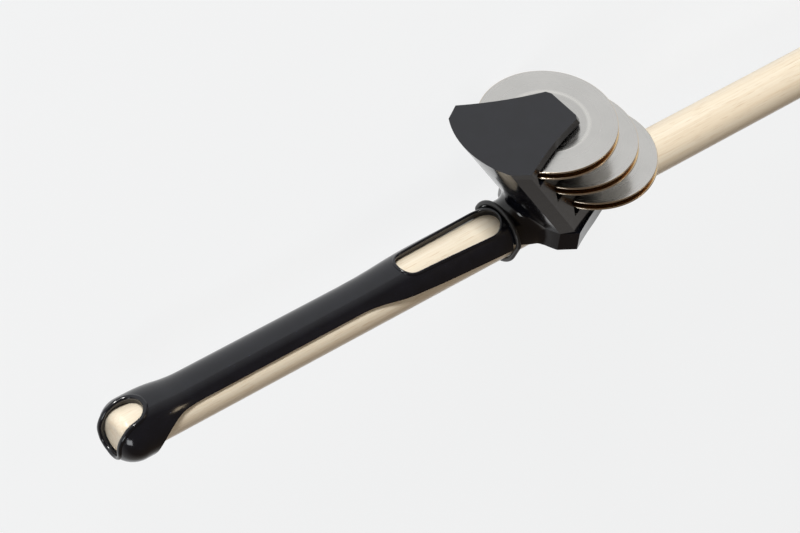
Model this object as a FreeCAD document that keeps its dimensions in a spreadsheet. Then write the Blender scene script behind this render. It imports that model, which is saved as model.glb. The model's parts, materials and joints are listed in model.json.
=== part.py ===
import FreeCAD, Part
import math
import os
import Sketcher

# Stick tambourine: a black moulded holder clips along a wooden drumstick. Its handle is a half
# pipe with a cup for the butt of the stick, and its head is a raked comb of shelves. Three pairs
# of steel jingles ride on one raked pin between the shelves. An elastic ring ties handle and stick.
#
# Body frame: X runs along the stick from its butt to its tip, Y is the way the jingles stand off
# the stick, Z runs across. The part lies on its side, so Z is up and the jingle rims touch Z = 0.
# Heights are along Y from the stick's axis, and all lengths are in millimetres.

SIZES = [
    ("stick_radius", 7.2, "drumstick shaft"),
    ("stick_length", 406.0, "whole drumstick"),
    ("butt_round", 3.2, "rounding of the butt end"),
    ("taper_run", 71.0, "taper and tip together"),
    ("tip_run", 13.0, "oval tip"),
    ("neck_radius", 3.1, "shaft radius at the narrowest place"),
    ("tip_radius", 4.7, "widest radius of the tip"),
    ("tip_flat", 0.9, "radius of the tip's flat end"),
    ("taper_radius", 530.0, "bulge of the taper"),
    ("stick_fit", 0.15, "gap between stick and channel"),
    ("shell_offset", 0.5, "outer shell centre above the stick axis"),
    ("cup_radius", 9.3, "outside of the butt cup"),
    ("cup_wall", 2.4, "end wall of the cup"),
    ("cup_round", 7.6, "rounding of the cup's end"),
    ("cup_length", 9.0, "straight part of the cup ends"),
    ("grip_radius", 7.85, "outside of the narrow handle"),
    ("grip_start", 25.0, "narrow handle begins"),
    ("grip_end", 80.0, "narrow handle ends"),
    ("wide_radius", 8.9, "outside of the wide handle"),
    ("wide_start", 110.0, "wide handle begins"),
    ("lip_place", 8.7, "corner of the cup's lip"),
    ("lip_drop", 1.7, "that corner below the stick's axis"),
    ("lip_lean", 0.26, "lean of the cup's edge below the corner"),
    ("lip_end", 19.2, "lip has run up to the handle's edges"),
    ("lip_radius", 11.0, "hollow of the lip"),
    ("grip_edge", 5.5, "height of the narrow handle's edges"),
    ("flare_end", 101.0, "edges have spread by here"),
    ("flare_edge", 3.7, "height of the edges there"),
    ("wide_edge", 1.6, "height of the edges at the ring's stop"),
    ("ring_stop", 134.4, "step in the edges that keeps the ring"),
    ("neck_edge", 3.6, "height of the neck's edges behind the ring"),
    ("neck_slope", 0.5, "fall of the neck's edges for each mm"),
    ("eye_half", 4.5, "half width of the cup's opening"),
    ("eye_end", 8.9, "opening's end on the top"),
    ("eye_depth", 5.4, "opening's end below the axis on the end wall"),
    ("eye_bevel", 0.45, "bevel round the cup's opening"),
    ("window_start", 96.8, "long window, butt end"),
    ("window_end", 134.7, "long window, head end"),
    ("window_narrow", 4.5, "half width at the butt end"),
    ("window_broad", 5.5, "half width at the head end"),
    ("head_place", 122.9, "top plate's butt corners"),
    ("plate_thick", 2.6, "top plate"),
    ("arc_radius", 26.4, "butt side of the head"),
    ("arc_half", 13.7, "half width where that arc ends"),
    ("corner_run", 5.1, "length of the plates' corner facets"),
    ("corner_half", 16.8, "greatest half width of the plates"),
    ("side_radius", 120.0, "hollow of the head's sides"),
    ("wall_run", 4.3, "length of the comb's corner facets"),
    ("wall_half", 15.9, "greatest half width of the comb between the plates"),
    ("fan_depth", 31.5, "head's length along the stick"),
    ("nose_run", 0.9, "length of the small tip facets"),
    ("nose_shoulder", 6.8, "half width before the tip facets"),
    ("nose_half", 5.3, "half width of the flat tip side"),
    ("head_rake", 0.651, "head's lean along X for each mm of height"),
    ("base_top", 4.9, "top of the base"),
    ("base_bottom", -1.9, "underside of the base"),
    ("relief_run", 16.5, "flat part of that underside, from the base's butt corners"),
    ("relief_rise", 0.3, "rise of the rest of the underside for each mm"),
    ("slot_floor", 10.2, "height of the lowest shelf"),
    ("slot_count", 3.0, "jingle slots"),
    ("slot_pitch", 12.0, "from slot to slot"),
    ("slot_height", 6.2, "clear height of a slot"),
    ("pocket_radius", 21.8, "round back of a slot"),
    ("saddle_radius", 2.8, "hollow between neck and head"),
    ("pin_ahead", 24.2, "pin ahead of the head's butt corners at the middle slot"),
    ("pin_rake", 0.85, "pin's lean along X for each mm of height"),
    ("pin_radius", 1.25, "jingle pin"),
    ("pin_fit", 0.03, "gap between pin and holder"),
    ("pin_cap", 1.2, "plate left above the pin's hole"),
    ("pin_foot", 1.6, "pin's lower end below the lowest shelf"),
    ("jingle_radius", 20.5, "jingle rim"),
    ("jingle_thick", 0.6, "sheet of the jingle"),
    ("dish_depth", 0.95, "depth of the pressed centre"),
    ("dish_outer", 11.0, "where the pressing starts"),
    ("dish_inner", 8.4, "where the pressing is full depth"),
    ("hole_radius", 3.2, "jingle hole"),
    ("rim_gap", 2.16, "clear gap between the rims of a pair"),
    ("pair_lift", 0.35, "pair's middle above its slot's middle"),
    ("jingle_play", 1.1, "jingle's centre ahead of the pin"),
    ("jingle_tilt", 3.0, "lean of the jingles, degrees"),
    ("ring_place", 135.6, "elastic ring"),
    ("ring_cord", 0.8, "radius of the ring's cord"),
    ("ring_gap", 0.05, "gap under the ring"),
]


class Term:
    """A number together with the spreadsheet expression that gives it."""

    def __init__(self, value, text):
        self.value = value
        self.text = text

    def __add__(self, other):
        other = term(other)
        return Term(self.value + other.value, f"({self.text} + {other.text})")

    def __sub__(self, other):
        other = term(other)
        return Term(self.value - other.value, f"({self.text} - {other.text})")

    def __mul__(self, other):
        other = term(other)
        return Term(self.value * other.value, f"({self.text} * {other.text})")

    def __truediv__(self, other):
        other = term(other)
        return Term(self.value / other.value, f"({self.text} / {other.text})")

    def __neg__(self):
        return Term(-self.value, f"(0 - {self.text})")


def term(number):
    return number if isinstance(number, Term) else Term(float(number), repr(float(number)))


def root(number):
    return Term(math.sqrt(number.value), f"sqrt({number.text})")


doc = FreeCAD.newDocument("StickTambourine")
sheet = doc.addObject("Spreadsheet::Sheet", "sizes")
for row, (alias, number, meaning) in enumerate(SIZES, start=1):
    sheet.set(f"A{row}", alias)
    sheet.set(f"B{row}", str(number))
    sheet.set(f"C{row}", meaning)
    sheet.setAlias(f"B{row}", alias)
doc.recompute()

S = {alias: Term(float(sheet.get(alias)), f"sizes.{alias}") for alias, number, meaning in SIZES}
ZERO = term(0)

channel_radius = S["stick_radius"] + S["stick_fit"]
cup_face = -S["cup_wall"]
neck_top = S["shell_offset"] + S["wide_radius"]
head_height = (S["slot_floor"] + S["slot_pitch"] * (S["slot_count"] - 1) + S["slot_height"]
               + S["plate_thick"])
base_place = S["head_place"] + (head_height - S["base_top"]) * S["head_rake"]
pin_top = head_height - S["pin_cap"] - S["pin_radius"]
ring_bottom = -(S["stick_radius"] + S["ring_gap"] + S["ring_cord"] * 2)

# The origin is under the middle of the part's box, with the jingle rims on the ground.
rim = S["eye_half"] + S["eye_bevel"] - S["cup_radius"] + S["cup_round"]
cup_end = cup_face + S["cup_round"] - root(S["cup_round"] * S["cup_round"] - rim * rim)
frame_x = -((S["stick_length"] + cup_end) / 2)
frame_y = -((head_height + ring_bottom) / 2)
frame_z = S["jingle_radius"]


def slot_middle(number):
    """Height of a slot's middle; slot 0 is the one next to the base."""
    return S["slot_floor"] + S["slot_pitch"] * number + S["slot_height"] / 2


def pin_x(height):
    """Place of the pin's axis along the stick at a height."""
    middle = slot_middle((S["slot_count"] - 1) / 2)
    corner = S["head_place"] + (head_height - middle) * S["head_rake"]
    return corner + S["pin_ahead"] + (middle - height) * S["pin_rake"]


def new_body(label):
    body = doc.addObject("PartDesign::Body", label)
    body.Label = label
    return body


def place(body, x=ZERO, y=ZERO, tilt=0.0):
    body.Placement = FreeCAD.Placement(
        FreeCAD.Vector(0, 0, 0), FreeCAD.Rotation(FreeCAD.Vector(0, 0, 1), tilt))
    body.setExpression("Placement.Base.x", (frame_x + x).text)
    body.setExpression("Placement.Base.y", (frame_y + y).text)
    body.setExpression("Placement.Base.z", frame_z.text)


def new_sketch(body, name, role, offset=None):
    """A sketch on one of the body's origin planes, moved along the plane's normal by offset."""
    sketch = body.newObject("Sketcher::SketchObject", name)
    plane = [o for o in body.Origin.OriginFeatures if o.Role == role][0]
    sketch.AttachmentSupport = (plane, [""])
    sketch.MapMode = "FlatFace"
    if offset is not None:
        sketch.setExpression("AttachmentOffset.Base.z", offset.text)
    return sketch


def bind(sketch, kind, *args):
    """Adds a dimension whose value is the last argument's expression."""
    index = sketch.addConstraint(Sketcher.Constraint(kind, *args[:-1], args[-1].value))
    sketch.setExpression(f"Constraints[{index}]", args[-1].text)


def pin_point(sketch, geometry, position, x, y):
    bind(sketch, "DistanceX", -1, 1, geometry, position, x)
    bind(sketch, "DistanceY", -1, 1, geometry, position, y)


def bulge_point(a, b, radius):
    """The middle of an arc from a to b; a positive radius bends it to the right of that way."""
    dx, dy = b[0] - a[0], b[1] - a[1]
    chord = math.hypot(dx, dy)
    sag = abs(radius) - math.sqrt(max(radius * radius - chord * chord / 4, 0.0))
    side = math.copysign(sag / chord, radius)
    return ((a[0] + b[0]) / 2 + dy * side, (a[1] + b[1]) / 2 - dx * side)


def closed_outline(sketch, corners):
    """Draws a closed outline. Each corner is (x, y) or (x, y, radius of the arc that leaves it)."""
    spots = [(c[0].value, c[1].value) for c in corners]
    ends = []
    for number, corner in enumerate(corners):
        a, b = spots[number], spots[(number + 1) % len(spots)]
        start, finish = FreeCAD.Vector(*a, 0), FreeCAD.Vector(*b, 0)
        if len(corner) == 2:
            edge = sketch.addGeometry(Part.LineSegment(start, finish), False)
            ends.append((edge, 1, 2))
            continue
        middle = FreeCAD.Vector(*bulge_point(a, b, corner[2].value), 0)
        edge = sketch.addGeometry(Part.Arc(start, middle, finish), False)
        forward = (sketch.getPoint(edge, 1) - start).Length < 1e-6
        ends.append((edge, 1, 2) if forward else (edge, 2, 1))
    for number, (edge, first, last) in enumerate(ends):
        after, after_first, after_last = ends[(number + 1) % len(ends)]
        sketch.addConstraint(Sketcher.Constraint("Coincident", edge, last, after, after_first))
    for (edge, first, last), corner in zip(ends, corners):
        pin_point(sketch, edge, first, corner[0], corner[1])
        if len(corner) == 3:
            size = corner[2] if corner[2].value > 0 else -corner[2]
            bind(sketch, "Radius", edge, size)
    return ends


def ease(start, finish):
    """Corners of an S-shaped step with level ends, made of two equal arcs."""
    run = finish[0] - start[0]
    rise = finish[1] - start[1]
    middle = ((start[0] + finish[0]) / 2, (start[1] + finish[1]) / 2)
    radius = (run * run + rise * rise) / (rise * 4)
    return [(start[0], start[1], radius), (middle[0], middle[1], -radius)]


def turned(body, name, corners, height=ZERO, cut=False):
    """A full turn of an outline about its last side, whose line is the axis."""
    sketch = new_sketch(body, name + "Sketch", "XY_Plane")
    ends = closed_outline(sketch, [(c[0], c[1] + height, *c[2:]) for c in corners])
    feature = body.newObject("PartDesign::Groove" if cut else "PartDesign::Revolution", name)
    feature.Profile = sketch
    feature.ReferenceAxis = (sketch, [f"Edge{ends[-1][0] + 1}"])
    feature.Angle = 360
    feature.Midplane = True
    body.Tip = feature
    return feature


def padded(body, name, sketch, length):
    feature = body.newObject("PartDesign::Pad", name)
    feature.Profile = sketch
    feature.setExpression("Length", length.text)
    body.Tip = feature
    return feature


def pocketed(body, name, sketch, depth, both=False, back=False):
    feature = body.newObject("PartDesign::Pocket", name)
    feature.Profile = sketch
    feature.setExpression("Length", depth.text)
    feature.Midplane = both
    feature.Reversed = back
    body.Tip = feature
    return feature


def edged(body, name, kind, size, wanted):
    """A Fillet or Chamfer on those edges of the body so far that the test picks."""
    doc.recompute()
    before = body.Tip
    names = [f"Edge{number}" for number, edge in enumerate(before.Shape.Edges, start=1)
             if wanted(edge)]
    feature = body.newObject("PartDesign::" + kind, name)
    feature.Base = (before, names)
    feature.setExpression("Radius" if kind == "Fillet" else "Size", size.text)
    body.Tip = feature
    return feature


def within(edge, skin, first, last, half):
    """Whether an edge lies on a surface, between two places along X and near the middle."""
    spots = edge.discretize(5)
    if any(p.x < first - 0.1 or p.x > last + 0.1 or abs(p.z) > half + 0.1 for p in spots):
        return False
    return all(skin.distToShape(Part.Vertex(p))[0] < 0.001 for p in spots)


def fan(place, run, half):
    """A plan of the head with its butt corners at a place along the stick."""
    far = place + S["fan_depth"]
    shoulder = far - S["nose_run"]
    return [
        (place, -S["arc_half"]),
        (place + run, -half, -S["side_radius"]),
        (shoulder, -S["nose_shoulder"]),
        (far, -S["nose_half"]),
        (far, S["nose_half"]),
        (shoulder, S["nose_shoulder"], -S["side_radius"]),
        (place + run, half),
        (place, S["arc_half"], S["arc_radius"]),
    ]


def round_ended(first, last, first_half, last_half):
    """A slot along the sketch's X axis whose ends are half circles."""
    return [
        (first + first_half, -first_half),
        (last - last_half, -last_half, last_half * 1.0001),
        (last - last_half, last_half),
        (first + first_half, first_half, first_half * 1.0001),
    ]


def make_holder():
    body = new_body("holder")
    shell_end = S["head_place"] + S["fan_depth"]
    skin = turned(body, "Shell", [
        (cup_face, ZERO),
        (cup_face, S["cup_radius"] - S["cup_round"], -S["cup_round"]),
        (cup_face + S["cup_round"], S["cup_radius"]),
        *ease((S["cup_length"], S["cup_radius"]), (S["grip_start"], S["grip_radius"])),
        (S["grip_start"], S["grip_radius"]),
        *ease((S["grip_end"], S["grip_radius"]), (S["wide_start"], S["wide_radius"])),
        (S["wide_start"], S["wide_radius"]),
        (shell_end, S["wide_radius"]),
        (shell_end, ZERO),
    ], S["shell_offset"])
    doc.recompute()
    surface = Part.makeCompound(skin.Shape.Faces)
    make_head(body)
    make_saddle(body, surface)
    make_underside(body)
    make_channel(body)
    make_window(body)
    make_cup_opening(body, surface)
    make_slots(body)
    turned(body, "PinHole", pin_outline(
        S["pin_radius"] + S["pin_fit"], S["stick_radius"] / 2, pin_top), cut=True)
    place(body)
    return body


def make_head(body):
    """The comb and its top plate lean towards the butt, and the base below them is upright."""
    under_plate = head_height - S["plate_thick"]
    comb_place = S["head_place"] + S["plate_thick"] * S["head_rake"]
    raked(body, "Comb", under_plate, under_plate - S["base_top"],
          fan(comb_place, S["wall_run"], S["wall_half"]))
    raked(body, "TopPlate", head_height, S["plate_thick"],
          fan(S["head_place"], S["corner_run"], S["corner_half"]))
    foot = new_sketch(body, "BasePlan", "XZ_Plane", -S["base_top"])
    closed_outline(foot, fan(base_place, S["corner_run"], S["corner_half"]))
    padded(body, "Base", foot, S["base_top"] + S["cup_radius"] * 2)


def make_saddle(body, surface):
    """Rounds the corner between the neck and the back of the head."""
    edged(body, "Saddle", "Fillet", S["saddle_radius"], lambda edge: within(
        edge, surface, (S["ring_stop"] + S["cup_wall"]).value,
        (base_place + S["cup_radius"]).value, S["wide_radius"].value))


def raked(body, name, height, depth, plan):
    """A plan at a height, carried down along the head's lean."""
    sketch = new_sketch(body, name + "Plan", "XZ_Plane", -height)
    closed_outline(sketch, plan)
    block = padded(body, name, sketch, depth)
    block.UseCustomVector = True
    block.AlongSketchNormal = True
    block.Direction = FreeCAD.Vector(S["head_rake"].value, -1, 0)


def make_underside(body):
    """Cuts the lower half away: the cup's lip, the handle's edges and the base's underside."""
    below = -(S["cup_radius"] * 3)
    beyond = base_place + S["fan_depth"] * 2
    foot = S["ring_stop"] + (S["neck_edge"] - S["base_bottom"]) / S["neck_slope"]
    relief = base_place + S["relief_run"]
    sketch = new_sketch(body, "UndersideSketch", "XY_Plane")
    closed_outline(sketch, [
        (S["lip_place"] + (below + S["lip_drop"]) * S["lip_lean"], below),
        (S["lip_place"], -S["lip_drop"], -S["lip_radius"]),
        (S["lip_end"], S["grip_edge"]),
        *ease((S["grip_end"], S["grip_edge"]), (S["flare_end"], S["flare_edge"])),
        (S["flare_end"], S["flare_edge"]),
        (S["ring_stop"], S["wide_edge"]),
        (S["ring_stop"], S["neck_edge"]),
        (foot, S["base_bottom"]),
        (relief, S["base_bottom"]),
        (beyond, S["base_bottom"] + (beyond - relief) * S["relief_rise"]),
        (beyond, below),
    ])
    pocketed(body, "Underside", sketch, S["corner_half"] * 4, both=True)


def make_channel(body):
    """The round channel for the stick, whose blind end fits the stick's rounded butt."""
    rounding = S["butt_round"] + S["stick_fit"]
    beyond = base_place + S["fan_depth"] * 2
    turned(body, "Channel", [
        (-S["stick_fit"], ZERO),
        (-S["stick_fit"], channel_radius - rounding, -rounding),
        (rounding - S["stick_fit"], channel_radius),
        (beyond, channel_radius),
        (beyond, ZERO),
    ], cut=True)


def make_window(body):
    sketch = new_sketch(body, "WindowSketch", "XZ_Plane", -(neck_top + S["cup_wall"]))
    closed_outline(sketch, round_ended(
        S["window_start"], S["window_end"], S["window_narrow"], S["window_broad"]))
    pocketed(body, "Window", sketch, neck_top + S["cup_wall"], back=True)


def make_cup_opening(body, surface):
    """One opening that runs over the cup's round end, cut from above and from the end."""
    eye = new_sketch(body, "EyeSketch", "XZ_Plane", -(S["cup_radius"] * 2))
    closed_outline(eye, round_ended(cup_face * 6, S["eye_end"], S["eye_half"], S["eye_half"]))
    pocketed(body, "Eye", eye, S["cup_radius"] * 2, back=True)
    notch = new_sketch(body, "NotchSketch", "YZ_Plane", cup_face * 2)
    closed_outline(notch, round_ended(
        -S["eye_depth"], S["cup_radius"] * 2, S["eye_half"], S["eye_half"]))
    pocketed(body, "Notch", notch, -cup_face * 2, back=True)
    edged(body, "EyeBevel", "Chamfer", S["eye_bevel"], lambda edge: within(
        edge, surface, cup_face.value, S["eye_end"].value, S["eye_half"].value))


def make_slots(body):
    """The round-backed slots that leave the comb's shelves."""
    for number in range(int(S["slot_count"].value)):
        middle = slot_middle(number)
        sketch = new_sketch(body, f"SlotSketch{number + 1}", "XZ_Plane",
                            -(middle - S["slot_height"] / 2))
        centre = pin_x(middle)
        circle = sketch.addGeometry(Part.Circle(
            FreeCAD.Vector(centre.value, 0, 0), FreeCAD.Vector(0, 0, 1),
            S["pocket_radius"].value), False)
        pin_point(sketch, circle, 3, centre, ZERO)
        bind(sketch, "Radius", circle, S["pocket_radius"])
        pocketed(body, f"Slot{number + 1}", sketch, S["slot_height"])


def pin_outline(radius, low, high):
    """Half of a long rectangle along the pin's axis, which is its last side."""
    length = root(S["pin_rake"] * S["pin_rake"] + 1)
    step_x = radius / length
    step_y = radius * S["pin_rake"] / length
    return [
        (pin_x(low), low),
        (pin_x(low) + step_x, low + step_y),
        (pin_x(high) + step_x, high + step_y),
        (pin_x(high), high),
    ]


def make_pin():
    body = new_body("jingle_pin")
    turned(body, "Pin", pin_outline(
        S["pin_radius"], S["slot_floor"] - S["pin_foot"], pin_top - S["pin_fit"]))
    place(body)
    return body


def level_arc(run, rise):
    """Radius of an arc that rises this much over this run and ends level."""
    return (run * run + rise * rise) / (rise * 2)


def make_stick():
    body = new_body("drumstick")
    length = S["stick_length"]
    radius = S["stick_radius"]
    taper = length - S["taper_run"]
    neck = length - S["tip_run"]
    widest = length - S["tip_run"] / 2
    turned(body, "Stick", [
        (ZERO, ZERO),
        (ZERO, radius - S["butt_round"], -S["butt_round"]),
        (S["butt_round"], radius),
        (taper, radius, -S["taper_radius"]),
        (neck, S["neck_radius"], -level_arc(widest - neck, S["tip_radius"] - S["neck_radius"])),
        (widest, S["tip_radius"], -level_arc(length - widest, S["tip_radius"] - S["tip_flat"])),
        (length, S["tip_flat"]),
        (length, ZERO),
    ])
    place(body)
    return body


def make_ring():
    """An elastic cord round neck and stick. It lies on the neck, bends round its two lower edges
    and runs straight to the underside of the stick."""
    body = new_body("retaining_ring")
    cord = S["ring_gap"] + S["ring_cord"]
    over = S["wide_radius"] + cord
    under = S["stick_radius"] + cord
    edge_y = S["neck_edge"] - (S["ring_place"] - S["ring_stop"]) * S["neck_slope"]
    rise = edge_y - S["shell_offset"]
    edge_z = root(S["wide_radius"] * S["wide_radius"] - rise * rise)
    leave_y = S["shell_offset"] + rise * over / S["wide_radius"]
    leave_z = edge_z * over / S["wide_radius"]
    reach = edge_y * edge_y + edge_z * edge_z
    step = under - cord
    side = root(reach - step * step)
    normal_y = (edge_y * step - edge_z * side) / reach
    normal_z = (edge_z * step + edge_y * side) / reach
    down = [
        (leave_y, leave_z, cord),
        (edge_y + normal_y * cord, edge_z + normal_z * cord),
        (normal_y * under, normal_z * under, under),
    ]
    up = [
        (normal_y * under, -normal_z * under),
        (edge_y + normal_y * cord, -(edge_z + normal_z * cord), cord),
        (leave_y, -leave_z, over),
    ]
    top = S["shell_offset"] + over
    path = new_sketch(body, "LoopPath", "YZ_Plane", S["ring_place"])
    ends = closed_outline(path, [(top, ZERO, over)] + down + up)
    section = new_sketch(body, "LoopSection", "XY_Plane")
    circle = section.addGeometry(Part.Circle(
        FreeCAD.Vector(S["ring_place"].value, top.value, 0), FreeCAD.Vector(0, 0, 1),
        S["ring_cord"].value), False)
    pin_point(section, circle, 3, S["ring_place"], top)
    bind(section, "Radius", circle, S["ring_cord"])
    loop = body.newObject("PartDesign::AdditivePipe", "Loop")
    loop.Profile = section
    loop.Spine = (path, [f"Edge{end[0] + 1}" for end in ends])
    body.Tip = loop
    place(body)
    return body


def make_jingle(label, side, height):
    """One pressed disc; side is 1 for the upper one of a pair, whose centre is pressed down."""
    body = new_body(label)
    half = S["jingle_thick"] / 2
    dish = S["dish_depth"] * -side
    upper = [
        (S["hole_radius"], dish + half),
        (S["dish_inner"], dish + half),
        (S["dish_outer"], half),
        (S["jingle_radius"], half),
    ]
    lower = [
        (S["jingle_radius"], -half),
        (S["dish_outer"], -half),
        (S["dish_inner"], dish - half),
        (S["hole_radius"], dish - half),
    ]
    sketch = new_sketch(body, "JingleSketch", "XY_Plane")
    closed_outline(sketch, upper + lower)
    disc = body.newObject("PartDesign::Revolution", "Disc")
    disc.Profile = sketch
    disc.ReferenceAxis = (sketch, ["V_Axis"])
    disc.Angle = 360
    body.Tip = disc
    place(body, pin_x(height + dish) + S["jingle_play"], height, S["jingle_tilt"].value)
    return body


parts = [make_holder(), make_stick(), make_ring(), make_pin()]
for pair in range(int(S["slot_count"].value)):
    middle = slot_middle(pair) + S["pair_lift"]
    spread = (S["rim_gap"] + S["jingle_thick"]) / 2
    parts.append(make_jingle(f"jingle_{pair + 1}_lower", -1, middle - spread))
    parts.append(make_jingle(f"jingle_{pair + 1}_upper", 1, middle + spread))
doc.recompute()

for item in doc.Objects:
    if "Invalid" in item.State or "Error" in item.State:
        raise RuntimeError(f"{item.Name} did not build: {item.State}")
os.makedirs("parts", exist_ok=True)
for body in parts:
    shape = body.Shape
    if shape.isNull() or not shape.isValid() or len(shape.Solids) != 1:
        raise RuntimeError(f"{body.Label} is not one valid solid")
    shape.exportStep(f"parts/{body.Label}.step")
    box = shape.optimalBoundingBox()
    print(body.Label, round(shape.Volume, 1), [round(v, 2) for v in (
        box.XMin, box.XMax, box.YMin, box.YMax, box.ZMin, box.ZMax)])
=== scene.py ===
import json
import math

import bmesh
import bpy
import numpy as np
from bpy.props import FloatProperty, FloatVectorProperty, IntProperty, PointerProperty
from bpy.types import Operator, Panel, PropertyGroup
from mathutils import Matrix, Vector


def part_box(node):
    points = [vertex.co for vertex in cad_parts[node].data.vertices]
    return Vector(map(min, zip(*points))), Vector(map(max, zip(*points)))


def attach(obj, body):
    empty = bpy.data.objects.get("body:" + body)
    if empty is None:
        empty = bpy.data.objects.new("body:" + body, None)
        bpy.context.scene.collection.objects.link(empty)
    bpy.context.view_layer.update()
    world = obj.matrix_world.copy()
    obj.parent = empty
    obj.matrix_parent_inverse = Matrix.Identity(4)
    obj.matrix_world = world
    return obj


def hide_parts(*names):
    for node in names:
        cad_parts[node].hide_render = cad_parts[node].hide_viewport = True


bl_info = {
    "name": "Stick Tambourine",
    "version": (1, 0, 0),
    "blender": (4, 5, 0),
    "location": "View3D > Sidebar > Tambourine",
    "description": "Dresses the packed stick tambourine: holder, drumstick, ring, pin and jingles",
    "category": "Add Mesh",
}

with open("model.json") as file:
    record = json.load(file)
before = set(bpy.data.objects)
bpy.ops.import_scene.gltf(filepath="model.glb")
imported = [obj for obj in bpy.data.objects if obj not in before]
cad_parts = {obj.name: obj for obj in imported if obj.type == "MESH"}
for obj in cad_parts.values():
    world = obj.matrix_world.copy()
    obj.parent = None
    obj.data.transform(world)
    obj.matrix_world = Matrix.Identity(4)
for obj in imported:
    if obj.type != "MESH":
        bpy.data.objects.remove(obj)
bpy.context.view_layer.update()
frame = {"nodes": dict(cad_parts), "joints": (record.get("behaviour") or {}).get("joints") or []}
MM = 0.001

# Limits for reading the CAD holder's mesh
JOIN_WITHIN = 0.002 * MM  # corners nearer than this are one corner
LEVEL_WITHIN = math.radians(0.6)  # faces that turn less than this become one face
FLAT_ABOVE = 0.9999  # how well the normals at a flat face's corners match, at least
WALL_GAP = 0.6 * MM  # the rims of window and cup lie farther than this outside the stick
WALL_REACH = 1.5  # and nearer than this many of its radii to the stick's axis
WINDOW_SLACK = 0.1 * MM  # how far past the window's lines its rim may lie
CUP_SLACK = 0.8 * MM  # how far past the opening's lines its rim may lie
TINY = 1e-9  # keeps a division from zero

# Points along each shape, and facets round it
BUTT_POINTS, SHAFT_POINTS, TAPER_POINTS, TIP_POINTS = 12, 60, 40, 26
TOP_POINTS, CORNER_POINTS, STRAIGHT_POINTS, UNDER_POINTS, CORD_FACETS = 40, 14, 12, 30, 20
BOWL_POINTS, BOWL_EDGE_POINTS, FLAT_POINTS, SHEET_POINTS = 14, 22, 10, 9
PIN_END_POINTS, PIN_FACETS = 6, 40
CUP_PARTS, LIP_STEPS, LIP_FACETS = 60, 240, 14

# Shares and powers that give shapes their character
LIP_EASING = (1, 2, 3)  # distances, in steps, over which the line of a lip is eased in turn
TAPER_POWER = 1.75  # of the way along the stick's taper
TIP_POWER = 2.3  # of the way from the tip's widest place to its end
TIP_WIDEST = 0.5  # place of that widest place, as a share of the tip
CLOSED_END = 0.02 * MM  # radius at which the ends of turned shapes close
BOWL_EDGE_SPAN = 2  # widths of the bowl's edge, to each side of it, that have close points
BOWL_EASE = 0.25  # easing of the bowl's edge, as a share of that width
RIM_REFLECTION_SHARE = 0.35  # painted warm reflection on a jingle's rim, as a share of that on its inner face

# Painted shade just inside the bowl's edge and a painted highlight line on it: colour factors,
# each with its place as a share of the rim's radius
WHITE = (1.0, 1.0, 1.0)
BOWL_EDGE_SHADE_AND_HIGHLIGHT = [(-0.05, (0.92, 0.92, 0.92)), (-0.02, (1.14, 1.14, 1.13)),
             (0.005, (1.14, 1.14, 1.13)), (0.03, WHITE)]

# The stage: each lamp's name, place and side in metres, power in watts, and colour
LAMPS = [
    ("key", (-0.5, 1.5, 0.18), 0.32, 21.0, (1.0, 0.985, 0.96)),
    ("side", (-1.1, -0.1, 0.85), 0.4, 2.8, (0.95, 0.98, 1.0)),
    ("fill", (1.0, 0.75, 1.1), 0.25, 1.1, (1.0, 0.82, 0.58)),
]
FLOOR_DROP = 0.2 * MM  # gap between the floor and the part
CEILING_FROM = 0.5  # height in the sky, from 0 at the horizon to 1, at which the ceiling starts


# Settings

def length(name, size, description):
    """A length setting whose size is given in millimetres."""
    return FloatProperty(name=name, default=size * MM, unit="LENGTH", description=description)


def colour(name, value, description):
    return FloatVectorProperty(name=name, default=value, subtype="COLOR", min=0, max=1,
                               description=description)


class HolderSettings(PropertyGroup):
    edge_round: length("Edge rounding", 0.32, "Width of the softened moulding edges")
    window_lip: length("Window lip", 0.5, "Radius of the moulded lip round the long window")
    eye_end: length("Opening end", 8.9, "Head end of the cup's opening, from the stick's butt")
    eye_half: length("Opening half width", 4.5, "Half width of the cup's opening")
    eye_depth: length("Opening depth", 5.4, "Lower end of the opening, below the stick's axis")
    cup_lip: length("Cup lip", 0.75, "Radius of the moulded lip round the cup's opening")
    window_start: length("Window start", 96.8, "Butt end of the window, from the stick's butt")
    window_end: length("Window end", 134.7, "Head end of the window, from the stick's butt")
    window_half: length("Window half width", 5.5, "Half width at the window's head end")
    sharp_angle: FloatProperty(name="Sharp above", default=math.radians(9), subtype="ANGLE",
                               description="Corners that turn more than this are softened")
    plastic: colour("Plastic", (0.0058, 0.0066, 0.0105), "Body colour of the moulding")


class DrumstickSettings(PropertyGroup):
    taper_run: length("Taper length", 71, "Taper and tip together")
    neck_run: length("Tip length", 13, "Oval tip")
    neck_radius: length("Neck radius", 3.1, "Radius at the narrowest place")
    tip_radius: length("Tip radius", 4.7, "Widest radius of the tip")
    butt_round: length("Butt rounding", 3.2, "Rounding of the butt end")
    turns: IntProperty(name="Facets round", default=96, description="Facets in a full turn")
    wood: colour("Wood", (0.95, 0.88, 0.735), "Palest colour of the wood")
    grain: colour("Grain", (0.80, 0.64, 0.44), "Colour of the growth bands")


class RingSettings(PropertyGroup):
    neck_radius: length("Neck radius", 8.9, "Outside of the neck that the ring lies on")
    neck_rise: length("Neck rise", 0.5, "Centre of the neck above the stick's axis")
    edge_height: length("Edge height", 3.0, "Height of the neck's edges above that axis")
    stick_radius: length("Stick radius", 7.2, "Shaft that the ring is pulled under")
    rubber: colour("Rubber", (0.02, 0.02, 0.022), "Colour of the cord")


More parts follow.
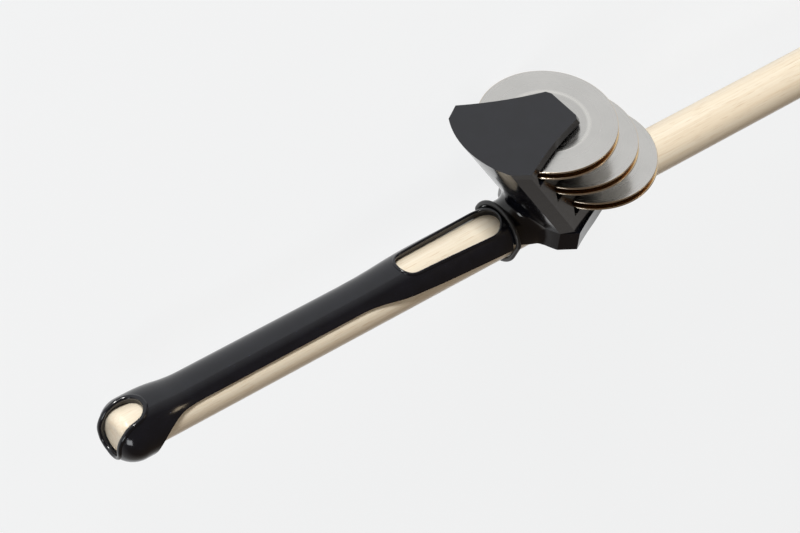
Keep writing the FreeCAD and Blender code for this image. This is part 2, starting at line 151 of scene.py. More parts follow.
class JingleSettings(PropertyGroup):
    radius: length("Rim radius", 20.5, "Outside of a jingle")
    thickness: length("Sheet", 0.6, "Thickness of the pressed sheet")
    hole: length("Hole radius", 3.2, "Hole for the pin")
    dish: length("Pressed bowl", 12.2, "Radius of the pressed bowl")
    dish_edge: length("Bowl edge", 0.45, "Width of the soft edge of the bowl")
    dish_depth: length("Pressing depth", 0.95, "Depth of the pressed centre")
    tilt: FloatProperty(name="Lean", default=math.radians(3), subtype="ANGLE",
                        description="Lean of the jingles on their pin")
    turns: IntProperty(name="Facets round", default=160, description="Facets in a full turn")
    plating: colour("Plating", (0.62, 0.61, 0.59), "Colour of the nickel plating")
    # painted warm reflection: the colour that the faces inside a pair are tinted with
    gap_reflection: colour("Reflection", (0.78, 0.55, 0.28), "Colour of the faces inside a pair")


class PinSettings(PropertyGroup):
    radius: length("Pin radius", 1.25, "Radius of the wire")
    end_round: length("End rounding", 0.35, "Rounding of the wire's ends")
    steel: colour("Steel", (0.58, 0.57, 0.56), "Colour of the wire")


class StageSettings(PropertyGroup):
    camera_place: FloatVectorProperty(
        name="Camera", default=(-0.45255, 0.528414, 0.38505), subtype="TRANSLATION",
        description="Place of the camera")
    camera_turn: FloatVectorProperty(
        name="Camera turn", subtype="EULER", description="Turn of the camera",
        default=tuple(math.radians(a) for a in (-50.8035, -38.4354, 6.1073)))
    lens: FloatProperty(name="Lens", default=116.1627, description="Focal length in millimetres")
    floor_size: FloatProperty(name="Floor size", default=6.0, unit="LENGTH",
                              description="Side of the square floor")
    floor: colour("Floor", (0.86, 0.885, 0.93), "Colour of the floor under the lights")
    glow: colour("Backdrop", (0.985, 0.994, 1.0), "Colour that the camera sees on the floor")
    glow_share: FloatProperty(name="Backdrop share", default=0.84, min=0, max=1,
                              description="How much of that colour is the floor's own light")
    sky: colour("Studio", (1.0, 0.97, 0.94), "Colour of the light from all round")
    ceiling: colour("Ceiling", (1.0, 0.74, 0.5), "Colour of the light from overhead")
    sky_low: FloatProperty(name="Light at the floor", default=0.62, description="Strength there")
    sky_high: FloatProperty(name="Light overhead", default=0.13, description="Strength there")


# Mesh building

def mesh_object(name, points, faces, smooth=True):
    mesh = bpy.data.meshes.new(name)
    mesh.from_pydata(points.tolist(), [], faces)
    mesh.polygons.foreach_set("use_smooth", [smooth] * len(mesh.polygons))
    mesh.update()
    obj = bpy.data.objects.new(name, mesh)
    bpy.context.scene.collection.objects.link(obj)
    return obj


def read(rows, field, width=1, kind=np.float32):
    """What a mesh's rows hold in a field, as one array, with a row each where it is a vector."""
    values = np.empty(len(rows) * width, dtype=kind)
    rows.foreach_get(field, values)
    return values.reshape(-1, width) if width > 1 else values


def grid_faces(rows, columns, wrap_rows):
    """Quads of a rows by columns grid of points whose columns close on themselves."""
    row = np.arange(rows if wrap_rows else rows - 1)[:, None]
    column = np.arange(columns)[None, :]
    after_row = (row + 1) % rows
    after_column = (column + 1) % columns
    quads = np.stack([
        row * columns + column, row * columns + after_column,
        after_row * columns + after_column, after_row * columns + column], axis=-1)
    return quads.reshape(-1, 4).tolist()


def lathe(name, profile, turns, matrix, closed=False):
    """A surface of revolution: the point at angle a of profile point (along, radius) is along the
    matrix's first axis, and radius times cos a and sin a along its second and third. The UV map
    holds the angle as a share of the turn and the radius in millimetres."""
    angle = np.arange(turns) * (2 * math.pi / turns)
    along, radius = profile[:, 0:1], profile[:, 1:2]
    local = np.stack([
        np.broadcast_to(along, (len(profile), turns)),
        radius * np.cos(angle)[None, :],
        radius * np.sin(angle)[None, :]], axis=-1).reshape(-1, 3)
    turn = np.array(matrix.to_3x3())
    points = local @ turn.T + np.array(matrix.translation)
    faces = grid_faces(len(profile), turns, closed)
    if not closed:
        last = (len(profile) - 1) * turns
        faces.append(list(range(turns))[::-1])
        faces.append(list(range(last, last + turns)))
    obj = mesh_object(name, points, faces)
    corners = read(obj.data.loops, "vertex_index", kind=np.int32)
    layer = obj.data.uv_layers.new(name="turned")
    share = (corners % turns) / turns
    out = np.hypot(local[corners, 1], local[corners, 2]) / MM
    layer.data.foreach_set("uv", np.stack([share, out], axis=-1).astype(np.float32).ravel())
    return obj


def tube(name, path, out, across, radius, facets):
    """A tube round a closed path: the point at angle b of its section is the path, plus the radius
    times cos b along the way out and sin b along the way across."""
    angle = np.arange(facets) * (2 * math.pi / facets)
    points = path[:, None, :] + radius * (
        np.cos(angle)[None, :, None] * out[:, None, :]
        + np.sin(angle)[None, :, None] * across[:, None, :])
    obj = mesh_object(name, points.reshape(-1, 3), grid_faces(len(path), facets, True))
    outward(obj)
    return obj


def outward(obj):
    """Turns all faces outwards."""
    work = bmesh.new()
    work.from_mesh(obj.data)
    bmesh.ops.recalc_face_normals(work, faces=work.faces)
    work.to_mesh(obj.data)
    work.free()


def arc(centre, radius, start, stop, count):
    """Points of an arc about a centre (along, out), from one angle to another, in degrees."""
    angle = np.radians(np.linspace(start, stop, count))
    return np.stack([centre[0] + radius * np.cos(angle),
                     centre[1] + radius * np.sin(angle)], axis=-1)


def box_of(node):
    """The low and high corner of a CAD node's box."""
    low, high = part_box(node)
    return np.array(low), np.array(high)


def stick_butt():
    """The middle of the stick's butt end, and the stick's radius."""
    low, high = box_of("drumstick")
    middle = (low + high) / 2
    return np.array([low[0], middle[1], middle[2]]), (high[2] - low[2]) / 2


# Materials

class Nodes:
    """A material's node tree with short calls for adding and joining nodes."""

    def __init__(self, name):
        self.material = bpy.data.materials.new(name)
        self.material.use_nodes = True
        self.tree = self.material.node_tree
        self.shader = self.tree.nodes["Principled BSDF"]

    def add(self, kind, links=(), **fields):
        node = self.tree.nodes.new(kind)
        for name, value in fields.items():
            setattr(node, name, value)
        for source, socket in links:
            self.tree.links.new(source, node.inputs[socket])
        return node

    def set(self, **values):
        for name, value in values.items():
            self.shader.inputs[name.replace("_", " ")].default_value = value

    def link(self, source, socket):
        self.tree.links.new(source, self.shader.inputs[socket])

    def place(self, scale, kind="Object"):
        """Texture coordinates stretched by a scale for each axis."""
        coordinates = self.add("ShaderNodeTexCoord")
        mapping = self.add("ShaderNodeMapping", [(coordinates.outputs[kind], "Vector")])
        mapping.inputs["Scale"].default_value = scale
        return mapping.outputs["Vector"]

    def noise(self, vector, scale=1.0, detail=2.0, roughness=0.5):
        node = self.add("ShaderNodeTexNoise", [(vector, "Vector")])
        node.inputs["Scale"].default_value = scale
        node.inputs["Detail"].default_value = detail
        node.inputs["Roughness"].default_value = roughness
        return node.outputs["Fac"]

    def ramp(self, source, *stops):
        node = self.add("ShaderNodeValToRGB", [(source, "Fac")])
        elements = node.color_ramp.elements
        while len(elements) < len(stops):
            elements.new(0.5)
        for element, (position, tint) in zip(elements, stops):
            element.position = position
            element.color = (*tint, 1.0)
        return node.outputs["Color"]

    def range(self, source, low, high, start=0.0, stop=1.0):
        """The source's span from start to stop, as one from low to high."""
        node = self.add("ShaderNodeMapRange", [(source, "Value")])
        node.inputs["From Min"].default_value = start
        node.inputs["From Max"].default_value = stop
        node.inputs["To Min"].default_value = low
        node.inputs["To Max"].default_value = high
        return node.outputs["Result"]

    def multiply(self, first, second, factor=1.0):
        node = self.add("ShaderNodeMix", data_type="RGBA", blend_type="MULTIPLY")
        node.inputs["Factor"].default_value = factor
        self.tree.links.new(first, node.inputs["A"])
        self.tree.links.new(second, node.inputs["B"])
        return node.outputs["Result"]

    def bump(self, height, distance, strength=1.0, before=None):
        node = self.add("ShaderNodeBump", [(height, "Height")])
        node.inputs["Distance"].default_value = distance
        node.inputs["Strength"].default_value = strength
        if before is not None:
            self.tree.links.new(before, node.inputs["Normal"])
        return node.outputs["Normal"]


def plastic_material(settings):
    """Glossy black moulded plastic with a faint ripple and fine rub marks."""
    nodes = Nodes("holder_plastic")
    even = nodes.place((1, 1, 1))
    nodes.set(Specular_IOR_Level=0.5, IOR=1.5)
    base = np.array(settings.plastic)
    mottle = nodes.noise(even, scale=260, detail=3)
    nodes.link(nodes.ramp(mottle, (0.3, base * 0.8), (0.75, base * 1.15)), "Base Color")
    rubbed = nodes.noise(nodes.place((60, 900, 900)), detail=4, roughness=0.6)
    nodes.link(nodes.range(rubbed, low=0.1, high=0.19, start=0.35, stop=0.75), "Roughness")
    ripple = nodes.bump(nodes.noise(even, scale=420, detail=1), 0.012 * MM)
    nodes.link(nodes.bump(rubbed, 0.0015 * MM, before=ripple), "Normal")
    return nodes.material


def wood_material(settings):
    """Pale lacquered hardwood: long growth bands, fine grain lines and short pores along X."""
    nodes = Nodes("stick_wood")
    nodes.set(Coat_Weight=0.2, Coat_Roughness=0.2, Specular_IOR_Level=0.4)
    pale, grain = np.array(settings.wood), np.array(settings.grain)
    bands = nodes.noise(nodes.place((7, 240, 200)), detail=2, roughness=0.5)
    lines = nodes.noise(nodes.place((22, 1500, 1500)), detail=3, roughness=0.55)
    pores = nodes.noise(nodes.place((170, 4200, 4200)), detail=1, roughness=0.4)
    banded = nodes.ramp(bands, (0.25, pale * 0.45 + grain * 0.55),
                        (0.45, pale * 0.8 + grain * 0.2), (0.7, pale))
    streaks = nodes.ramp(lines, (0.35, (0.93, 0.89, 0.84)), (0.6, WHITE))
    dashes = nodes.ramp(pores, (0.3, (0.74, 0.62, 0.5)), (0.37, WHITE))
    nodes.link(nodes.multiply(nodes.multiply(banded, streaks, 0.8), dashes, 0.5), "Base Color")
    nodes.link(nodes.range(lines, low=0.34, high=0.48), "Roughness")
    raised = nodes.bump(lines, 0.02 * MM, strength=0.6)
    nodes.link(nodes.bump(pores, 0.02 * MM, strength=0.5, before=raised), "Normal")
    return nodes.material


def jingle_material(settings):
    """Nickel-plated pressed sheet: soft turning marks, faint stains, painted shade and a painted
    highlight line round the bowl's edge, and a painted warm reflection on the faces inside a pair
    and, weaker, on the rims."""
    nodes = Nodes("jingle_steel")
    nodes.set(Metallic=1.0)
    plating = np.array(settings.plating)
    turned = nodes.place((0, 1, 0), "UV")
    fine = nodes.noise(turned, scale=7.0, detail=2, roughness=0.6)
    wide = nodes.noise(turned, scale=0.8, detail=3, roughness=0.6)
    stain = nodes.noise(nodes.place((1, 1, 1)), scale=95, detail=4, roughness=0.6)
    faces = nodes.ramp(stain, (0.3, plating * 0.93), (0.7, plating))
    # painted warm reflection on the faces inside a pair and, weaker, on the rims
    inside = nodes.add("ShaderNodeAttribute", attribute_name="inside")
    gap_reflection_tint = nodes.ramp(inside.outputs["Fac"], (0.0, WHITE),
                      (1.0, np.array(settings.gap_reflection) / plating))
    split = nodes.add("ShaderNodeSeparateXYZ", [(turned, "Vector")])
    across = nodes.range(split.outputs["Y"], low=0.0, high=1.0, stop=settings.radius / MM)
    edge = settings.dish / settings.radius
    # painted shade and painted highlight line round the bowl's edge
    bowl_edge_light = nodes.ramp(across, *((edge + shift, tint) for shift, tint in BOWL_EDGE_SHADE_AND_HIGHLIGHT))
    nodes.link(nodes.multiply(nodes.multiply(faces, gap_reflection_tint), bowl_edge_light), "Base Color")
    nodes.link(nodes.range(wide, low=0.2, high=0.3, start=0.3, stop=0.7), "Roughness")
    stained = nodes.bump(stain, 0.05 * MM, strength=0.2)
    waves = nodes.bump(wide, 0.02 * MM, strength=0.5, before=stained)
    nodes.link(nodes.bump(fine, 0.004 * MM, before=waves), "Normal")
    return nodes.material


def pin_material(settings):
    """Drawn steel wire with fine marks."""
    nodes = Nodes("pin_steel")
    nodes.set(Metallic=1.0)
    steel = np.array(settings.steel)
    drawn = nodes.noise(nodes.place((900, 900, 2200)), detail=2)
    nodes.link(nodes.ramp(drawn, (0.3, steel * 0.8), (0.7, steel)), "Base Color")
    nodes.link(nodes.range(drawn, low=0.22, high=0.36), "Roughness")
    nodes.link(nodes.bump(drawn, 0.006 * MM, strength=0.6), "Normal")
    return nodes.material


def rubber_material(settings):
    """Black elastic cord with a satin skin and fine grit."""
    nodes = Nodes("ring_rubber")
    rubber = np.array(settings.rubber)
    grit = nodes.noise(nodes.place((1, 1, 1)), scale=2600, detail=3, roughness=0.6)
    nodes.link(nodes.ramp(grit, (0.3, rubber * 0.6), (0.75, rubber)), "Base Color")
    nodes.link(nodes.range(grit, low=0.25, high=0.42), "Roughness")
    nodes.link(nodes.bump(grit, 0.02 * MM, strength=0.4), "Normal")
    return nodes.material


def seen_by_eye(nodes):
    """1 for what the camera sees, directly, in a mirror or through glass, and 0 for light."""
    path = nodes.add("ShaderNodeLightPath").outputs
    seen = nodes.add("ShaderNodeMath", [(path["Is Camera Ray"], 0), (path["Is Glossy Ray"], 1)],
                     operation="MAXIMUM")
    return nodes.add("ShaderNodeMath", [(seen.outputs[0], 0), (path["Is Transmission Ray"], 1)],
                     operation="MAXIMUM").outputs[0]


def floor_material(settings):
    """Pale sweep: what the camera and mirrors see is mostly its own even light."""
    nodes = Nodes("floor")
    nodes.set(Roughness=0.9, Base_Color=(*settings.floor, 1), Specular_IOR_Level=0.0)
    share = nodes.add("ShaderNodeMath", [(seen_by_eye(nodes), 0)], operation="MULTIPLY")
    share.inputs[1].default_value = settings.glow_share
    glow = nodes.add("ShaderNodeEmission")
    glow.inputs["Color"].default_value = (*settings.glow, 1)
    glow.inputs["Strength"].default_value = 1.0
    mix = nodes.add("ShaderNodeMixShader", [
        (share.outputs[0], "Fac"), (nodes.shader.outputs[0], 1), (glow.outputs[0], 2)])
    nodes.tree.links.new(mix.outputs[0], nodes.tree.nodes["Material Output"].inputs["Surface"])
    return nodes.material


# Pieces

class TAMBOURINE_OT_holder(Operator):
    """Dresses the moulded holder: the CAD shape with softened edges, and its two moulded lips"""
    bl_idname = "tambourine.holder"
    bl_label = "Holder"

    def execute(self, context):
        settings = context.scene.tambourine_holder
        source = frame["nodes"]["holder"]
        shell = source.copy()
        shell.data = source.data.copy()
        shell.name = "holder_moulding"
        context.scene.collection.objects.link(shell)
        merge_solid(shell.data)
        window, cup = weigh_edges(shell.data, settings)
        lips = [window_lip(window, settings), cup_lip(cup, settings)]
        bevel = shell.modifiers.new("edges", "BEVEL")
        bevel.width = settings.edge_round
        bevel.segments = 3
        bevel.limit_method = "WEIGHT"
        bevel.harden_normals = True
        apply_modifiers(context, shell)
        material = plastic_material(settings)
        for piece in [shell] + lips:
            dress(piece, material)
            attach(piece, "stick_and_holder")
        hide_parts("holder")
        return {"FINISHED"}


def merge_solid(mesh):
    """Joins the CAD mesh's loose faces into one skin. Each corner keeps the normal of the surface
    it came from in a layer of its own."""
    normals = read(mesh.corner_normals, "vector", 3)
    for name in ("custom_normal", "sharp_edge", "sharp_face"):
        if name in mesh.attributes:
            mesh.attributes.remove(mesh.attributes[name])
    kept = mesh.attributes.new("cad_normal", "FLOAT_VECTOR", "CORNER")
    kept.data.foreach_set("vector", normals.ravel())
    work = bmesh.new()
    work.from_mesh(mesh)
    bmesh.ops.remove_doubles(work, verts=work.verts, dist=JOIN_WITHIN)
    bmesh.ops.dissolve_limit(work, angle_limit=LEVEL_WITHIN, verts=work.verts,
                             edges=work.edges, delimit={"NORMAL"})
    work.to_mesh(mesh)
    work.free()
    mesh.polygons.foreach_set("use_smooth", [True] * len(mesh.polygons))


def weigh_edges(mesh, settings):
    """Finds each edge where the surfaces on its two sides turn, as their kept normals give it.
    Those between two flat faces get the bevel's weight, and the others are marked as sharp.
    Returns the corners on the rim of the window and of the cup's opening."""
    normals = read(mesh.attributes["cad_normal"].data, "vector", 3)
    normals /= np.maximum(np.linalg.norm(normals, axis=1, keepdims=True), TINY)
    starts = read(mesh.polygons, "loop_start", kind=np.int32)
    totals = read(mesh.polygons, "loop_total", kind=np.int32)
    after = np.arange(1, len(mesh.loops) + 1)
    after[starts + totals - 1] = starts
    edge = read(mesh.loops, "edge_index", kind=np.int32)
    order = np.argsort(edge, kind="stable")
    count = np.bincount(edge, minlength=len(mesh.edges))
    paired = np.flatnonzero(count == 2)
    place = (np.cumsum(count) - count)[paired]
    first, second = order[place], order[place + 1]
    match = np.minimum((normals[first] * normals[after[second]]).sum(axis=1),
                       (normals[after[first]] * normals[second]).sum(axis=1))
    creased = np.zeros(len(mesh.edges), dtype=bool)
    creased[paired] = match < math.cos(settings.sharp_angle)
    face = np.repeat(np.arange(len(mesh.polygons)), totals)
    alike = (normals * normals[starts[face]]).sum(axis=1)
    flat = np.minimum.reduceat(alike, starts) > FLAT_ABOVE
    between = np.zeros(len(mesh.edges), dtype=bool)
    between[paired] = flat[face[first]] & flat[face[second]]
    sharp = mesh.attributes.new("sharp_edge", "BOOLEAN", "EDGE")
    sharp.data.foreach_set("value", creased & ~between)
    weight = mesh.attributes.new("bevel_weight_edge", "FLOAT", "EDGE")
    weight.data.foreach_set("value", (creased & between).astype(np.float32))
    mesh.attributes.remove(mesh.attributes["cad_normal"])
    return rim_points(mesh, creased, settings)


def rim_points(mesh, creased, settings):
    """The corners, about the stick's butt, on the window's upper edge and on the edge of the
    cup's opening: they lie in the holder's wall, or past the butt, and within the lines of the
    window or the opening."""
    butt, stick_radius = stick_butt()
    points = read(mesh.vertices, "co", 3) - butt
    ends = read(mesh.edges, "vertices", 2, np.int32)[creased]
    along, up, across = points[:, 0], points[:, 1], np.abs(points[:, 2])
    from_axis = np.hypot(points[:, 1], points[:, 2])
    wall = (from_axis > stick_radius + WALL_GAP) & (from_axis < WALL_REACH * stick_radius)
    window = (wall & (along > settings.window_start - WINDOW_SLACK)
              & (along < settings.window_end + WINDOW_SLACK)
              & (across < settings.window_half + WINDOW_SLACK) & (up > 0))
    cup = ((wall | (along < -WALL_GAP)) & (along < settings.eye_end + CUP_SLACK)
           & (across < settings.eye_half + CUP_SLACK) & (up > -settings.eye_depth - CUP_SLACK))
    return [points[np.unique(ends[rim[ends].all(axis=1)])] for rim in (window, cup)]


def window_lip(rim, settings):
    """The moulded lip round the window. The rim's corners are put in order by their bearing from
    the window's middle."""
    middle = (settings.window_start + settings.window_end) / 2
    stretch = (settings.window_end - settings.window_start) / (2 * settings.window_half)
    order = np.argsort(np.arctan2(rim[:, 2] * stretch, rim[:, 0] - middle))
    return lip("window_lip", rim[order], settings.window_lip)


def cup_lip(rim, settings):
    """The moulded lip round the cup's opening. The rim's corners are sorted by their bearing from
    the opening's middle, where up the opening is the angle about the middle of the cup, and those
    in each of the equal parts of the turn are averaged."""
    middle = settings.eye_end / 2
    up = np.arctan2(rim[:, 1], middle - rim[:, 0])
    centre = (up.min() + up.max()) / 2
    bearing = np.arctan2(rim[:, 2] / settings.eye_half, (up - centre) * 2 / (up.max() - up.min()))
    part = ((bearing + math.pi) / (2 * math.pi) * CUP_PARTS).astype(int) % CUP_PARTS
    count = np.bincount(part, minlength=CUP_PARTS)
    total = np.stack([np.bincount(part, rim[:, k], minlength=CUP_PARTS) for k in range(3)],
                     axis=-1)
    filled = np.flatnonzero(count)
    return lip("cup_lip", total[filled] / count[filled][:, None], settings.cup_lip)


def lip(name, corners, radius):
    """A closed tube along a line through corners about the stick's butt. The line is cut into even
    steps and eased, and the tube's way out points away from the stick's axis."""
    loop = np.concatenate([corners, corners[:1]])
    way = np.concatenate([[0], np.cumsum(np.linalg.norm(np.diff(loop, axis=0), axis=1))])
    steps = np.linspace(0, way[-1], LIP_STEPS, endpoint=False)
    path = np.stack([np.interp(steps, way, loop[:, k]) for k in range(3)], axis=-1)
    for shift in LIP_EASING:
        path = (np.roll(path, shift, axis=0) + 2 * path + np.roll(path, -shift, axis=0)) / 4
    along = np.roll(path, -1, axis=0) - np.roll(path, 1, axis=0)
    along /= np.linalg.norm(along, axis=1, keepdims=True)
    out = path * (0, 1, 1)
    out -= (out * along).sum(axis=1, keepdims=True) * along
    out /= np.linalg.norm(out, axis=1, keepdims=True)
    butt, _ = stick_butt()
    return tube(name, path + butt, out, np.cross(along, out), radius, LIP_FACETS)


class TAMBOURINE_OT_drumstick(Operator):
    """Turns the drumstick: rounded butt, straight shaft, long taper and oval tip"""
    bl_idname = "tambourine.drumstick"
    bl_label = "Drumstick"

    def execute(self, context):
        settings = context.scene.tambourine_drumstick
        low, high = box_of("drumstick")
        butt, radius = stick_butt()
        profile = drumstick_profile(high[0] - low[0], radius, settings)
        matrix = Matrix.Translation(Vector(butt))
        stick = lathe("turned_drumstick", profile, settings.turns, matrix)
        outward(stick)
        dress(stick, wood_material(settings))
        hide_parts("drumstick")
        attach(stick, "stick_and_holder")
        return {"FINISHED"}


def drumstick_profile(end, radius, settings):
    """The drumstick's outline as (along, radius) from the butt to the tip's end. The butt edge is
    a quarter circle, and the taper falls with a power of the way along it. The tip is an egg: up
    to its widest place its radius swells as a quarter of an ellipse, and past it the radius
    follows the root of one minus a power of the way to the end."""
    rounding = settings.butt_round
    butt = arc((rounding, radius - rounding), rounding, 180, 90, BUTT_POINTS)
    neck = end - settings.neck_run
    start = neck - (settings.taper_run - settings.neck_run)
    along = np.linspace(rounding, start, SHAFT_POINTS)[1:]
    shaft = np.stack([along, np.full_like(along, radius)], axis=-1)
    share = np.linspace(0, 1, TAPER_POINTS)[1:]
    fall = (radius - settings.neck_radius) * share ** TAPER_POWER
    taper = np.stack([start + (neck - start) * share, radius - fall], axis=-1)
    widest = end - settings.neck_run * TIP_WIDEST
    share = np.linspace(0, 1, TIP_POINTS)[1:]
    swell = settings.neck_radius + (settings.tip_radius - settings.neck_radius) * np.sqrt(
        1 - (1 - share) ** 2)
    rise = np.stack([neck + (widest - neck) * share, swell], axis=-1)
    share = np.sin(np.linspace(0, math.pi / 2, TIP_POINTS)[1:])
    fall = settings.tip_radius * np.sqrt(np.clip(1 - share ** TIP_POWER, 0, 1))
    close = np.stack([widest + (end - widest) * share, np.maximum(fall, CLOSED_END)], axis=-1)
    return np.concatenate([np.array([[0, CLOSED_END]]), butt, shaft, taper, rise, close])


class TAMBOURINE_OT_ring(Operator):
    """Stretches the elastic ring over the neck and under the stick"""
    bl_idname = "tambourine.ring"
    bl_label = "Ring"

    def execute(self, context):
        settings = context.scene.tambourine_ring
        low, high = box_of("retaining_ring")
        butt, _ = stick_butt()
        cord = (high[0] - low[0]) / 2
        reach = (butt[1] - settings.stick_radius) - (low[1] + cord)
        path, out = ring_path(settings, reach)
        place = ((low[0] + high[0]) / 2, butt[1], butt[2])
        along = np.tile((1.0, 0.0, 0.0), (len(path), 1))
        ring = tube("elastic_ring", path + place, out, along, cord, CORD_FACETS)
        dress(ring, rubber_material(settings))
        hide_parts("retaining_ring")
        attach(ring, "stick_and_holder")
        return {"FINISHED"}


def ring_path(settings, reach):
    """The middle of the cord and the way out from it, about the stick's axis.

    It is the line of a belt round three shapes, kept one reach away from each: the neck's round
    top, the neck's two lower edges, and the stick's round underside. The way out turns evenly
    through each arc, and stays the same along the straight runs between edge and stick. It is
    worked out as (height, across), from the top down one side, and then mirrored."""
    rise = settings.edge_height - settings.neck_rise
    edge = np.array([settings.edge_height, math.sqrt(settings.neck_radius ** 2 - rise ** 2)])
    leave = math.atan2(edge[1], rise)
    meet = math.atan2(edge[1], edge[0]) + math.acos(settings.stick_radius / np.hypot(*edge))
    top = np.linspace(0, leave, TOP_POINTS, endpoint=False)
    corner = np.linspace(leave, meet, CORNER_POINTS)
    straight = np.linspace(0, 1, STRAIGHT_POINTS)[1:-1]
    under = np.linspace(meet, math.pi, UNDER_POINTS)[:-1]
    turn = np.concatenate([top, corner, np.full(len(straight), meet), under])
    out = np.stack([np.cos(turn), np.sin(turn)], axis=-1)
    stick_side = out * (settings.stick_radius + reach)
    edge_side = edge + out * reach
    top_side = np.array([settings.neck_rise, 0]) + out * (settings.neck_radius + reach)
    share = np.concatenate([
        np.zeros(len(top) + len(corner)), straight, np.ones(len(under))])[:, None]
    half = np.where(np.arange(len(turn))[:, None] < len(top), top_side,
                    edge_side * (1 - share) + stick_side * share)
    lowest = [[-(settings.stick_radius + reach), 0]]
    return mirrored(half, lowest), mirrored(out, [[-1, 0]])


def mirrored(half, lowest):
    """Rows (height, across) of the half from the top down, the lowest row, and the other half up
    to the top, as (X, Y, Z) in the plane across the stick."""
    rows = np.concatenate([half, lowest, half[:0:-1] * (1, -1)])
    return np.pad(rows, ((0, 0), (1, 0)))


class TAMBOURINE_OT_pin(Operator):
    """Makes the jingle pin with rounded ends"""
    bl_idname = "tambourine.pin"
    bl_label = "Pin"

    def execute(self, context):
        settings = context.scene.tambourine_pin
        low, high = box_of("jingle_pin")
        axis = Vector(frame["joints"][0]["axis"]).normalized()
        radius, rounding = settings.radius, settings.end_round
        half = ((high[1] - low[1]) - 2 * radius * abs(axis.x)) / axis.y / 2
        profile = np.concatenate([
            np.array([[-half, CLOSED_END]]),
            arc((-half + rounding, radius - rounding), rounding, 180, 90, PIN_END_POINTS),
            arc((half - rounding, radius - rounding), rounding, 90, 0, PIN_END_POINTS),
            np.array([[half, CLOSED_END]])])
        matrix = axes_matrix(axis, Vector((low + high) / 2))
        pin = lathe("drawn_pin", profile, PIN_FACETS, matrix)
        outward(pin)
        dress(pin, pin_material(settings))
        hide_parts("jingle_pin")
        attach(pin, "stick_and_holder")
        return {"FINISHED"}


class TAMBOURINE_OT_jingles(Operator):
    """Presses the jingles: thin discs with a rounded rim and a sunken centre"""
    bl_idname = "tambourine.jingles"
    bl_label = "Jingles"

    def execute(self, context):
        settings = context.scene.tambourine_jingles
        material = jingle_material(settings)
        axis = Vector((-math.sin(settings.tilt), math.cos(settings.tilt), 0))
        reach = settings.radius * math.sin(settings.tilt) + settings.thickness / 2 * axis.y
        discs = [n for n in frame["nodes"] if n.startswith("jingle_") and n != "jingle_pin"]
        for node in sorted(discs):
            low, high = box_of(node)
            upper = node.endswith("upper")
            centre = (low + high) / 2
            centre[1] = high[1] - reach if upper else low[1] + reach
            side = -1 if upper else 1
            sections = jingle_sections(settings, side)
            disc = lathe(node + "_disc", np.concatenate(sections), settings.turns,
                         axes_matrix(axis, Vector(centre)), closed=True)
            mark_inside(disc, sections, settings.turns, side)
            outward(disc)
            dress(disc, material)
            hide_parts(node)
            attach(disc, node)
        return {"FINISHED"}


def mark_inside(disc, sections, turns, side):
    """Puts 1 on the points of the face that looks at the pair's other jingle, a share on those of
    the rim, and 0 elsewhere: this is where the painted warm reflection goes, and how strongly."""
    marks = (1, RIM_REFLECTION_SHARE, 0, 0) if side > 0 else (0, RIM_REFLECTION_SHARE, 1, 0)
    value = np.repeat(marks, [len(section) * turns for section in sections])
    layer = disc.data.attributes.new("inside", "FLOAT", "POINT")
    layer.data.foreach_set("value", value.astype(np.float32))


def jingle_sections(settings, side):
    """The closed section of a jingle as (along the axis, radius), in four parts: top face, rim,
    bottom face and hole. Its middle line is flat outside and sinks as a shallow bowl, by one minus
    the square of the share of the bowl's radius, with its edge eased by the root of the square of
    the way to it and a small width. The sheet's two faces lie half a thickness from that line,
    joined by half circles at the rim and the hole."""
    half = settings.thickness / 2
    near = settings.dish - BOWL_EDGE_SPAN * settings.dish_edge
    far = settings.dish + BOWL_EDGE_SPAN * settings.dish_edge
    out = np.concatenate([
        np.linspace(settings.hole + half, near, BOWL_POINTS),
        np.linspace(near, far, BOWL_EDGE_POINTS)[1:],
        np.linspace(far, settings.radius - half, FLAT_POINTS)[1:]])
    sunk = 1 - (out / settings.dish) ** 2
    ease = settings.dish_edge * BOWL_EASE / settings.dish
    deep = (sunk + np.sqrt(sunk ** 2 + ease ** 2)) / 2
    deep = (deep - deep[-1]) / (deep[0] - deep[-1])
    middle = side * settings.dish_depth * deep
    top = np.stack([middle + half, out], axis=-1)
    bottom = np.stack([middle - half, out], axis=-1)[::-1]
    rim = arc((0, settings.radius - half), half, 0, 180, SHEET_POINTS)[1:-1]
    hole = arc((middle[0], settings.hole + half), half, 180, 360, SHEET_POINTS)[1:-1]
    return [top, rim, bottom, hole]


def axes_matrix(axis, place):
    """A matrix whose first axis is the given one and whose second is Z, moved to a place."""
    across = Vector((0, 0, 1))
    third = axis.cross(across).normalized()
    turn = Matrix((axis, across, third)).transposed()
    return Matrix.Translation(place) @ turn.to_4x4()


def dress(obj, material):
    """Makes a material the object's only one."""
    obj.data.materials.clear()
    obj.data.materials.append(material)


def apply_modifiers(context, obj):
    """Puts the object's finished shape into its own mesh."""
    graph = context.evaluated_depsgraph_get()
    graph.update()
    made = bpy.data.meshes.new_from_object(obj.evaluated_get(graph))
    obj.modifiers.clear()
    obj.data = made


class TAMBOURINE_OT_stage(Operator):
    """Sets the floor, the soft lights and the camera"""
    bl_idname = "tambourine.stage"
    bl_label = "Stage"

    def execute(self, context):
        settings = context.scene.tambourine_stage
        half = settings.floor_size / 2
        corners = np.array([[-half, -half, -FLOOR_DROP], [half, -half, -FLOOR_DROP],
                            [half, half, -FLOOR_DROP], [-half, half, -FLOOR_DROP]])
        floor = mesh_object("floor", corners, [[0, 1, 2, 3]], smooth=False)
        dress(floor, floor_material(settings))
        context.scene.world = studio_world(settings)
        for lamp in LAMPS:
            softbox(context, *lamp)
        data = bpy.data.cameras.new("camera")
        data.lens = settings.lens
        data.sensor_width = 36
        data.clip_start = 0.01
        camera = bpy.data.objects.new("camera", data)
        camera.location = settings.camera_place
        camera.rotation_euler = settings.camera_turn
        context.scene.collection.objects.link(camera)
        context.scene.camera = camera
        context.scene.view_settings.view_transform = "Standard"
        return {"FINISHED"}


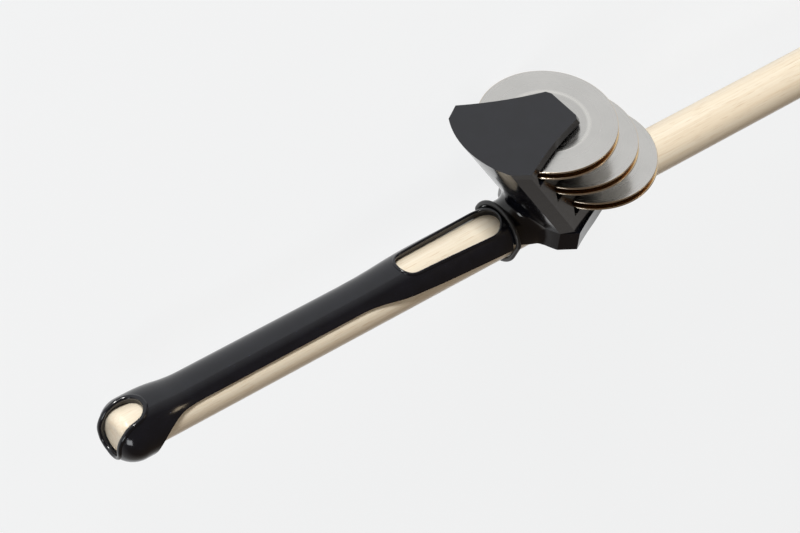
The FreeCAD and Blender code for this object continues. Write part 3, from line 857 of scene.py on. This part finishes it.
def studio_world(settings):
    """Light from all round, bright at the level of the floor and dim overhead."""
    world = bpy.data.worlds.new("studio")
    world.use_nodes = True
    tree = world.node_tree
    background = tree.nodes["Background"]
    view = tree.nodes.new("ShaderNodeTexCoord")
    split = tree.nodes.new("ShaderNodeSeparateXYZ")
    height = tree.nodes.new("ShaderNodeValToRGB")
    low, high = height.color_ramp.elements
    low.position, low.color = 0.0, (*(np.array(settings.sky) * settings.sky_low), 1)
    high.position = CEILING_FROM
    high.color = (*(np.array(settings.ceiling) * settings.sky_high), 1)
    tree.links.new(view.outputs["Generated"], split.inputs["Vector"])
    tree.links.new(split.outputs["Z"], height.inputs["Fac"])
    tree.links.new(height.outputs["Color"], background.inputs["Color"])
    return world


def softbox(context, name, place, side, power, tint):
    """A square area light that faces the object."""
    data = bpy.data.lights.new(name, "AREA")
    data.size = side
    data.energy = power
    data.color = tint
    lamp = bpy.data.objects.new(name, data)
    lamp.location = place
    lamp.rotation_euler = (-Vector(place)).to_track_quat("-Z", "Y").to_euler()
    context.scene.collection.objects.link(lamp)


class TAMBOURINE_PT_panel(Panel):
    bl_label = "Stick Tambourine"
    bl_space_type = "VIEW_3D"
    bl_region_type = "UI"
    bl_category = "Tambourine"

    def draw(self, context):
        for group, operator, kind in PARTS:
            box = self.layout.box()
            box.operator(operator.bl_idname)
            settings = getattr(context.scene, group)
            for name in kind.__annotations__:
                box.prop(settings, name)


PARTS = [
    ("tambourine_holder", TAMBOURINE_OT_holder, HolderSettings),
    ("tambourine_drumstick", TAMBOURINE_OT_drumstick, DrumstickSettings),
    ("tambourine_ring", TAMBOURINE_OT_ring, RingSettings),
    ("tambourine_pin", TAMBOURINE_OT_pin, PinSettings),
    ("tambourine_jingles", TAMBOURINE_OT_jingles, JingleSettings),
    ("tambourine_stage", TAMBOURINE_OT_stage, StageSettings),
]


def register():
    for group, operator, kind in PARTS:
        bpy.utils.register_class(kind)
        bpy.utils.register_class(operator)
        setattr(bpy.types.Scene, group, PointerProperty(type=kind))
    bpy.utils.register_class(TAMBOURINE_PT_panel)


def unregister():
    bpy.utils.unregister_class(TAMBOURINE_PT_panel)
    for group, operator, kind in reversed(PARTS):
        delattr(bpy.types.Scene, group)
        bpy.utils.unregister_class(operator)
        bpy.utils.unregister_class(kind)


def main():
    register()
    bpy.ops.tambourine.holder()
    bpy.ops.tambourine.drumstick()
    bpy.ops.tambourine.ring()
    bpy.ops.tambourine.pin()
    bpy.ops.tambourine.jingles()
    bpy.ops.tambourine.stage()


if __name__ == "__main__":
    main()
